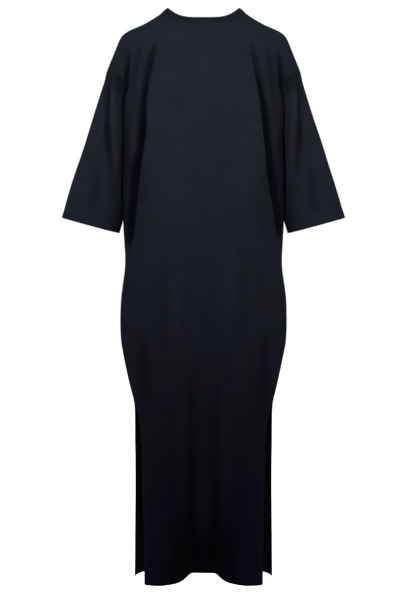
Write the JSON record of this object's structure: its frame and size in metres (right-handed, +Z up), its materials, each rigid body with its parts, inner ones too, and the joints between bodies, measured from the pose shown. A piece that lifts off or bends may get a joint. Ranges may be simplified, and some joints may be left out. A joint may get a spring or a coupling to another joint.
{
  "type": "t-shirt dress",
  "caption": "Ankle-length T-shirt dress in thin jersey, with wide short sleeves, a ribbed round neck and open side slits.",
  "frame": {"origin": "middle of the neck opening, level with the neckband's two high points, where a wearer's neck holds the dress", "axes": "+Z up along the dress, -Y out of its back, +X to the wearer's right"},
  "size_m": [0.62, 0.2399, 1.2501],
  "materials": {
    "jersey": "matte blue-black cotton jersey",
    "rib": "matte blue-black rib knit"
  },
  "bodies": {
    "root": {"back_panel": "jersey", "front_panel": "jersey", "sleeve_left": "jersey", "sleeve_right": "jersey", "neckband": "rib"}
  },
  "joints": []
}
